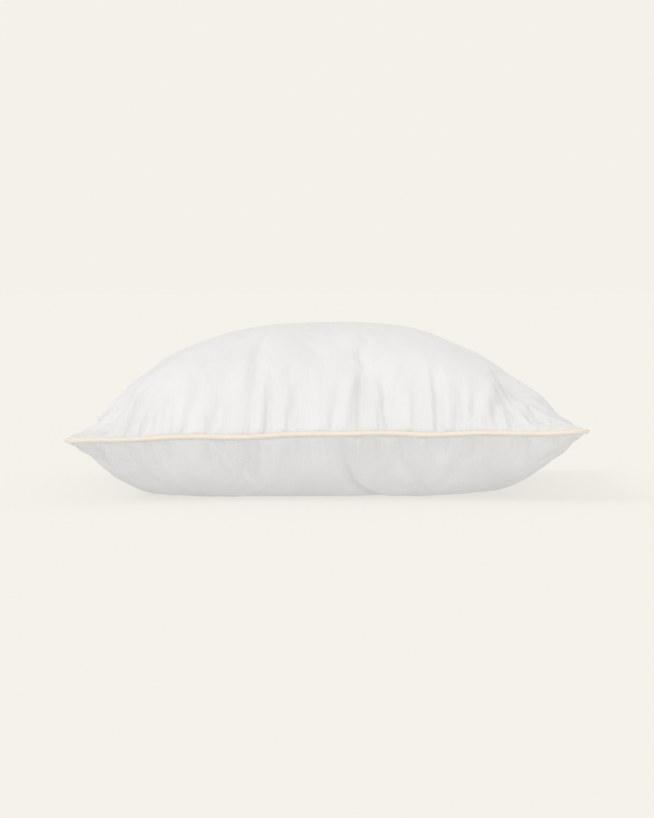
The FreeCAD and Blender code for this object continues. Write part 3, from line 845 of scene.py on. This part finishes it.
def bands(place, direction, pitch, distortion=0.0):
    """Parallel ridges at a pitch in metres."""
    return add_node(place.id_data, "ShaderNodeTexWave",
                    {"Vector": place, "Scale": 0.314 / pitch, "Distortion": distortion},
                    bands_direction=direction).outputs["Fac"]


def combine(operation, value, other=0.0):
    """Two values joined by one sum."""
    return first(value.id_data, "ShaderNodeMath", {0: value, 1: other}, operation=operation)


def tint(shader, factor, low, high):
    """Colour between two tones."""
    ramp = add_node(shader.id_data, "ShaderNodeValToRGB", {"Fac": factor})
    for element, position, tone in zip(ramp.color_ramp.elements, (0.35, 0.65), (low, high)):
        element.position = position
        element.color = (*tone, 1)
    shader.id_data.links.new(ramp.outputs["Color"], shader.inputs["Base Color"])


def relief(shader, height, depth):
    """Bump of a depth in metres, on top of the bumps already there."""
    inputs = {"Strength": 1.0, "Distance": depth, "Height": height}
    if shader.inputs["Normal"].links:
        inputs["Normal"] = shader.inputs["Normal"].links[0].from_socket
    shader.id_data.links.new(first(shader.id_data, "ShaderNodeBump", inputs), shader.inputs["Normal"])


def seam_streaks(place, axis):
    """Fine gathers that run square to two of the sides and fade out towards the middle."""
    tree, half = place.id_data, CUT_HALF[axis]
    parts = add_node(tree, "ShaderNodeSeparateXYZ", {"Vector": place})
    fade = first(tree, "ShaderNodeMapRange",
                 {"Value": combine("ABSOLUTE", parts.outputs[axis]), "From Min": 0.45 * half,
                  "From Max": half}, interpolation_type="SMOOTHSTEP")
    stretch = (15, 150, 1) if axis == 0 else (150, 15, 1)
    stretched = first(tree, "ShaderNodeMapping", {"Vector": place, "Scale": stretch})
    from_middle = combine("ABSOLUTE", combine("SUBTRACT", noise(stretched, 1.0, 2.0), 0.5))
    ridge = combine("ADD", combine("MULTIPLY", from_middle, -1.0), 0.5)
    return combine("MULTIPLY", ridge, fade)


def woven(name, colour, roughness, sheen, pitch, weave_depth, crumple_depth):
    """A plain weave: warp ridges crossed with weft ridges, fine gathers and a slight crumple."""
    material, shader, place = new_material(name, colour, roughness, sheen, True)
    low, high = ([share * part for part in colour] for share in (0.975, 1.015))
    tint(shader, noise(place, 14.0, 4.0), low, high)
    relief(shader, combine("MULTIPLY", bands(place, "X", pitch), bands(place, "Y", pitch)), weave_depth)
    relief(shader, noise(place, 130.0, 2.0), crumple_depth)
    for axis in (0, 1):
        relief(shader, seam_streaks(place, axis), 5 * crumple_depth)
    return material


SHELL_WHITE = (0.735, 0.742, 0.772)
shell_cotton = woven("shell cotton", SHELL_WHITE, 0.78, 0.15, 0.00032, 0.00004, 0.00025)
core_ticking = woven("core ticking", (0.78, 0.75, 0.69), 0.82, 0.10, 0.00045, 0.00006, 0.00030)

piping_cloth, shader, place = new_material("piping satin", (0.79, 0.72, 0.645), 0.30, 0.25, True)
for socket, value in (("Specular IOR Level", 0.5), ("Coat Weight", 0.9), ("Coat Roughness", 0.18)):
    shader.inputs[socket].default_value = value
split = add_node(place.id_data, "ShaderNodeSeparateXYZ", {"Vector": place})
diagonal = combine("ADD", split.outputs["X"], split.outputs["Y"])
relief(shader, combine("SINE", combine("MULTIPLY", diagonal, 14000.0)), 0.00003)
relief(shader, noise(place, 420.0, 2.0), 0.00012)

filler_cord, shader, place = new_material("filler cord cotton", (0.80, 0.76, 0.68), 0.95, 0.2)
tint(shader, noise(place, 900.0), (0.74, 0.70, 0.61), (0.84, 0.81, 0.74))
relief(shader, noise(place, 2600.0), 0.00015)

sewing_thread, shader, place = new_material("sewing thread", (0.82, 0.81, 0.78), 0.5, 0.2)
relief(shader, noise(place, 5200.0), 0.00006)

label_tape, shader, place = new_material("label satin", (0.84, 0.83, 0.81), 0.38, 0.1)
relief(shader, bands(place, "Z", 0.0004), 0.00004)

down_fluff, shader, place = new_material("down", (0.86, 0.85, 0.82), 0.95, 0.6, False, 0.6, 0.15)
tint(shader, noise(place, 90.0), (0.80, 0.79, 0.76), (0.90, 0.89, 0.87))
relief(shader, noise(place, 700.0, 6.0), 0.0006)

feather_fluff, shader, place = new_material("feather", (0.78, 0.74, 0.68), 0.8, 0.3, False, 0.4)
tint(shader, noise(place, 60.0), (0.62, 0.57, 0.50), (0.86, 0.84, 0.80))
relief(shader, bands(place, "X", 0.0012, 6.0), 0.0002)
print(len(bpy.data.materials), "materials mixed")

# %% [markdown]
# ## Sew
# The needle thread lies on the upper plies and the bobbin thread under the lower ones, at the
# same distance from the fold. The overlock binds the raw edges further in. On one short side the
# filling opening was closed last, with small stitches in the ditch on both sides of the piping.

# %% Place the rows of stitches
THREAD_RADIUS = 0.00015
SEAM_THREAD_IN, SEAM_THREAD_UP = 0.0065, 0.00152
OVERLOCK_WIDTH = 0.0034
SEAM_STITCH = dict(pitch=0.0030, thread_radius=THREAD_RADIUS, width=0.0027)
CLOSING_STITCH = dict(pitch=0.0042, lean=0.5, thread_radius=THREAD_RADIUS, width=0.0026)
CLOSING_HALF, CLOSING_UP = 0.123, 0.0019


def beside_seam(inward, height):
    """A closed row of points at a distance inside the seam, at a height above it."""
    row = seam_line - seam_out * inward
    row[:, 2] += height
    return even_points(row, 900)[0]


needle_row = row_of("needle_thread_stitches", lockstitch, beside_seam(SEAM_THREAD_IN, SEAM_THREAD_UP), True,
                    lean=0.06, height=0.00045, **SEAM_STITCH)
bobbin_row = row_of("bobbin_thread_stitches", lockstitch, beside_seam(SEAM_THREAD_IN, -SEAM_THREAD_UP), True,
                    lean=-0.06, height=-0.00045, **SEAM_STITCH)
raw_edge = beside_seam(ALLOWANCE - OVERLOCK_WIDTH / 2 + 0.0003, 0.0)
overlock_row = row_of("overlock_edging_loops", overlock, raw_edge, True, pitch=0.0022, lean=0.42,
                      thread_radius=THREAD_RADIUS, width=OVERLOCK_WIDTH, height=0.0034)

opening = (seam_line[:, 0] < 0) & (np.abs(seam_line[:, 1]) < CLOSING_HALF)
ditch = seam_line[opening] + seam_out[opening] * 0.0004
ditch = ditch[np.argsort(ditch[:, 1])]
closing_rows = [row_of("closing_stitches_" + name, lockstitch, ditch + np.array([0, 0, side * CLOSING_UP]),
                       False, height=side * 0.0005, **CLOSING_STITCH)
                for name, side in (("upper", 1), ("lower", -1))]
print("rows sewn:", needle_row.name, bobbin_row.name, overlock_row.name, *[row.name for row in closing_rows])

# %% [markdown]
# ## The care label
# A short satin tape, folded in half with its ends caught in the seam at the back. It is left
# blank. The tape is one ribbon, so it is drawn as a line of points in side view, down, round the
# fold and up again, and then given its width and its thickness.

# %% Fold the care label
label_low, label_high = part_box("care_label")
LABEL_WIDTH = label_high[0] - label_low[0]
LABEL_TAPE = 0.00014


def label_line():
    """The ribbon in side view: (distance behind the seam, height)."""
    drop = label_high[2] - label_low[2] - 0.002
    down = np.linspace(0, 1, 26)
    sway = 0.0016 * np.sin(down * 2.6) - 0.0100 * down ** 1.6
    front = [(0.0006 + s, -0.0012 - drop * t) for s, t in zip(sway, down)]
    end_y, end_z = front[-1]
    fold = [(end_y + 0.0006 * (1 - math.cos(a)), end_z - 0.0006 * math.sin(a))
            for a in np.linspace(0.3, math.pi - 0.3, 7)]
    gap = 0.0012 * np.sin(down * math.pi * 0.5 + 0.25) + 0.0002
    back = [(y + g, z) for (y, z), g in zip(front, gap)][::-1]
    return np.array(front + fold + back)


middle = int(np.argmin(np.abs(seam_line[:, 0]) + (seam_line[:, 1] < 0)))
line = label_line()
across = np.linspace(-LABEL_WIDTH / 2, LABEL_WIDTH / 2, 17)
curl = 0.0010 * (across / (LABEL_WIDTH / 2)) ** 2
behind, height = line.T
label_points = np.empty((len(across), len(line), 3))
label_points[..., 0] = across[:, None]
label_points[..., 1] = seam_line[middle, 1] + behind + curl[:, None] * np.clip(-height / 0.04, 0, 1)
label_points[..., 2] = seam_line[middle, 2] + height
label_numbers = np.arange(label_points[..., 0].size).reshape(label_points.shape[:2])
label = new_piece("care_label_tape", label_points.reshape(-1, 3), grid_faces(label_numbers, False))
thicken(label, LABEL_TAPE)
print_faces(label)

# %% [markdown]
# ## The filling
# Down and feathers are loose, yet the part needs them as solid forms that an artist can show in a
# cutaway. Each layer is the space between two cloths, a little smaller, with a lumpy surface.
# Geometry Nodes then scatters tufts of down, or small curved feathers, over that surface, with a
# fixed seed, so that a cut shows what the pillow is stuffed with.

# %% Make the filling
def lumps(points, seed, size, height):
    """Soft lumps: a height above the cloth at every grid point."""
    draws = np.random.default_rng(seed)
    total = np.zeros(points.shape[:2])
    for _ in range(9):
        direction = draws.normal(size=2)
        direction *= 6.28 * draws.uniform(0.6, 1.6) / (size * np.linalg.norm(direction))
        total += np.sin(points[..., :2] @ direction + draws.uniform(0, 6.28))
    return height * total / 4


def filling_piece(name, upper, lower, seed):
    """A closed form between two grids, blunt at its edge."""
    inner = (slice(EDGE_CELLS, -EDGE_CELLS), slice(EDGE_CELLS, -EDGE_CELLS))
    up, low = upper[inner].copy(), lower[inner].copy()
    up[..., 2] -= np.abs(lumps(up, seed, 0.05, 0.0022))
    low[..., 2] += np.abs(lumps(low, seed + 1, 0.05, 0.0022))
    middle_height = (up[..., 2] + low[..., 2]) / 2
    half = np.maximum((up[..., 2] - low[..., 2]) / 2, 0.0008)
    u, v = grid_numbers(up.shape[0] - 1, up.shape[1] - 1)
    rounding = np.sqrt(np.clip(1 - np.maximum(np.abs(u), np.abs(v)) ** 24, 0, 1))
    up[..., 2] = middle_height + half * rounding
    low[..., 2] = middle_height - half * rounding
    top_numbers, bottom_numbers, inside = bag_numbers(up.shape[:2])
    low[..., :2] = up[..., :2]
    points = np.concatenate([up.reshape(-1, 3), low[inside]])
    faces = np.concatenate([grid_faces(top_numbers, True), grid_faces(bottom_numbers, False)])
    return new_piece(name, points, faces)


FILAMENTS = 7
SCATTER_INPUTS = (("Density", "Float"), ("Size", "Float"), ("Seed", "Int"), ("Material", "Material"))


def tuft_tree():
    """Scatters down tufts: a few bent filaments round each point."""
    tree, given = new_tree("down tufts", SCATTER_INPUTS)
    filament = first(tree, "GeometryNodeCurveQuadraticBezier",
                     {"Resolution": 3, "Start": (0, 0, 0), "Middle": (0.5, 0.1, 0.22),
                      "End": (1.0, -0.1, 0.06)})
    section = first(tree, "GeometryNodeCurvePrimitiveCircle", {"Resolution": 3, "Radius": 0.025})
    barb = first(tree, "GeometryNodeCurveToMesh",
                 {"Curve": filament, "Profile Curve": section, "Fill Caps": True})
    hub = first(tree, "GeometryNodeMeshCircle", {"Vertices": FILAMENTS, "Radius": 0.03})
    index = first(tree, "GeometryNodeInputIndex")
    angle = first(tree, "ShaderNodeMath", {0: index, 1: 2 * math.pi / FILAMENTS}, operation="MULTIPLY")
    turn = first(tree, "ShaderNodeCombineXYZ", {"Z": angle})
    star = first(tree, "GeometryNodeInstanceOnPoints", {"Points": hub, "Instance": barb, "Rotation": turn})
    scatter_over(tree, first(tree, "GeometryNodeRealizeInstances", {"Geometry": star}), given)
    return tree


def feather_tree():
    """Scatters small curved feathers: a flat section along a bent spine, thin at both ends."""
    tree, given = new_tree("small feathers", SCATTER_INPUTS)
    bow = {"Start": (-0.5, 0, 0.01), "Middle": (0.0, 0.12, 0.09), "End": (0.5, 0, 0.01)}
    spine = first(tree, "GeometryNodeCurveQuadraticBezier", {"Resolution": 9, **bow})
    upright = first(tree, "GeometryNodeSetCurveNormal", {"Curve": spine}, mode="Z_UP")
    along = first(tree, "GeometryNodeSplineParameter")
    bend = first(tree, "ShaderNodeMath", {0: along, 1: math.pi}, operation="MULTIPLY")
    width = first(tree, "ShaderNodeMath", {0: bend}, operation="SINE")
    least = first(tree, "ShaderNodeMath", {0: width, 1: 0.06}, operation="MAXIMUM")
    section = first(tree, "GeometryNodeCurvePrimitiveCircle", {"Resolution": 6, "Radius": 1.0})
    flat = first(tree, "GeometryNodeTransform", {"Geometry": section, "Scale": (0.14, 0.012, 1.0)})
    vane = first(tree, "GeometryNodeCurveToMesh",
                 {"Curve": upright, "Profile Curve": flat, "Scale": least, "Fill Caps": True})
    scatter_over(tree, vane, given)
    return tree


def scatter_over(tree, shape, given):
    """Spreads a shape over the filling's surface, lying flat and turned at random."""
    points = add_node(tree, "GeometryNodeDistributePointsOnFaces",
                      {"Mesh": given["Geometry"], "Density": given["Density"], "Seed": given["Seed"]})
    spin = first(tree, "FunctionNodeRandomValue",
                 {0: (0, 0, 0), 1: (0, 0, 2 * math.pi), "Seed": given["Seed"]}, data_type="FLOAT_VECTOR")
    turned = first(tree, "FunctionNodeRotateRotation",
                   {"Rotation": points.outputs["Rotation"], "Rotate By": spin}, rotation_space="LOCAL")
    finish_tree(tree, {"Points": points.outputs["Points"], "Instance": shape, "Rotation": turned,
                       "Scale": given["Size"]}, given, given["Geometry"])


GAP = 0.0040
EDGE_CELLS = 5
DOWN = dict(density=1600.0, size=0.009)


def lowered(wall, side, gap=GAP):
    """A wall moved towards the middle of the pillow."""
    moved = wall.copy()
    moved[..., 2] -= side * gap
    return moved


top_half, bottom_half = top_wall[::2, ::2], bottom_wall[::2, ::2]
upper_down = filling_piece("upper_down_cluster", lowered(top_half, 1), lowered(core_top_wall, -1), 31)
lower_down = filling_piece("lower_down_cluster", lowered(core_bottom_wall, 1), lowered(bottom_half, -1), 37)
core_feather = filling_piece("core_feather_cluster", lowered(core_top_wall, 1),
                             lowered(core_bottom_wall, -1), 41)
tufts, feathers = tuft_tree(), feather_tree()
run_tree(upper_down, tufts, down_fluff, dict(seed=3, **DOWN))
run_tree(lower_down, tufts, down_fluff, dict(seed=8, **DOWN))
run_tree(core_feather, feathers, feather_fluff, dict(density=2600.0, size=0.026, seed=12))
print_faces(upper_down, lower_down, core_feather)

# %% [markdown]
# ## Studio
# The floor is pale and plain and meets a sky of the same tone, so no horizon shows. A broad light
# from the upper left and a warm, low one from the front give the soft light. The pillow lies on a
# light table, whose glow keeps the shadow under it pale. The table's tone is worked out from all
# the lights: what it sends back must equal what the sky behind it sends.

# %% Light the studio
SKY = (0.905, 0.880, 0.823)
SKY_STRENGTH = 1.0
KEY, KEY_TILT = 0.62, math.radians(50)
FRONT, FRONT_TILT = 1.05, math.radians(88)
TABLE_GLOW = 0.66

world = bpy.data.worlds.new("studio")
world.use_nodes = True
world.node_tree.nodes["Background"].inputs["Color"].default_value = (*SKY, 1)
world.node_tree.nodes["Background"].inputs["Strength"].default_value = SKY_STRENGTH
scene.world = world


def add_sun(name, energy, tilt, turn, spread, colour=(1.0, 1.0, 1.0)):
    """A broad distant light, tilted from straight down; returns what the floor gets of it."""
    light = bpy.data.objects.new(name, bpy.data.lights.new(name, "SUN"))
    light.data.energy = energy
    light.data.color = colour
    light.data.angle = spread
    light.rotation_euler = (tilt, 0, turn)
    scene.collection.objects.link(light)
    return energy / math.pi * math.cos(tilt) * np.array(colour)


WARM = (1.0, 0.962, 0.915)
sun_on_floor = add_sun("key", KEY, KEY_TILT, math.radians(-60), math.radians(22))
sun_on_floor += add_sun("front fill", FRONT, FRONT_TILT, math.radians(6), math.radians(40), WARM)
floor_tone = [(1 - TABLE_GLOW) * sky / (sky + sun) for sky, sun in zip(SKY, sun_on_floor)]
FLOOR = 60.0
floor_mesh = bpy.data.meshes.new("studio_floor")
floor_corners = [(x * FLOOR, y * FLOOR, 0) for x, y in ((-1, -1), (1, -1), (1, 1), (-1, 1))]
floor_mesh.from_pydata(floor_corners, [], [(0, 1, 2, 3)])
floor = bpy.data.objects.new("studio_floor", floor_mesh)
scene.collection.objects.link(floor)
floor_material, shader, _ = new_material("studio floor", floor_tone, 1.0)
for socket, value in (("Specular IOR Level", 0.0), ("Emission Color", (*SKY, 1)),
                     ("Emission Strength", TABLE_GLOW)):
    shader.inputs[socket].default_value = value
floor_mesh.materials.append(floor_material)
scene.view_settings.view_transform = "Standard"
print("floor tone", [round(tone, 3) for tone in floor_tone])

# %% Aim the camera
CAMERA_DISTANCE = 3.0
CAMERA_HEIGHT_ANGLE = math.radians(3.0)
camera = bpy.data.objects.new("camera", bpy.data.cameras.new("camera"))
camera.data.lens = 104.5
aim = Vector((0, 0, 0.1))
away = Vector((0, -math.cos(CAMERA_HEIGHT_ANGLE), math.sin(CAMERA_HEIGHT_ANGLE)))
camera.location = aim + CAMERA_DISTANCE * away
camera.rotation_euler = (aim - camera.location).to_track_quat("-Z", "Y").to_euler()
scene.collection.objects.link(camera)
scene.camera = camera

# %% [markdown]
# ## Hand the pieces over
# Each piece rides the root body, takes its material and stands in for a solid of the frame, which is
# then hidden. The tables also list the material slot each fills, and for cloth its flat cut, because a cloth
# must not stretch.

PANEL_FLAT = (CUT_LENGTH, CUT_WIDTH)
SHEETS = (
    (top_panel, "top_panel", shell_cotton, "shell_cotton", PANEL_FLAT, "stretched"),
    (bottom_panel, "bottom_panel", shell_cotton, "shell_cotton", PANEL_FLAT, "stretched"),
    (core_top, "core_top_panel", core_ticking, "core_ticking", PANEL_FLAT, "stretched"),
    (core_bottom, "core_bottom_panel", core_ticking, "core_ticking", PANEL_FLAT, "stretched"),
    (label, "care_label", label_tape, "label_tape", (LABEL_WIDTH, 0.084), "hung"),
)
FILLINGS = (
    (upper_down, "upper_down_fill", down_fluff, "down", 0.8),
    (lower_down, "lower_down_fill", down_fluff, "down", 0.9),
    (core_feather, "core_feather_fill", feather_fluff, "feather", 0.8),
)
TRIMS = (
    (piping, "piping_cover", piping_cloth, "piping_cloth"),
    (cord, "piping_cord", filler_cord, "filler_cord"),
    (needle_row, "needle_thread", sewing_thread, "thread"),
    (bobbin_row, "bobbin_thread", sewing_thread, "thread"),
    (overlock_row, "overlock_edging", sewing_thread, "thread"),
    (closing_rows[0], "closing_stitches", sewing_thread, "thread"),
    (closing_rows[1], "closing_stitches", sewing_thread, "thread"),
)


def hand_over(piece, node, material):
    """Gives a piece its material if it has none, hangs it on the root body and hides the frame's solid it
    stands for.
    """
    if not piece.data.materials:
        piece.data.materials.append(material)
    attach(piece, "root")
    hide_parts(node)


for piece, node, material, slot, flat, held in SHEETS:
    hand_over(piece, node, material)
for piece, node, material, slot, fill in FILLINGS:
    hand_over(piece, node, material)
for piece, node, material, slot in TRIMS:
    hand_over(piece, node, material)
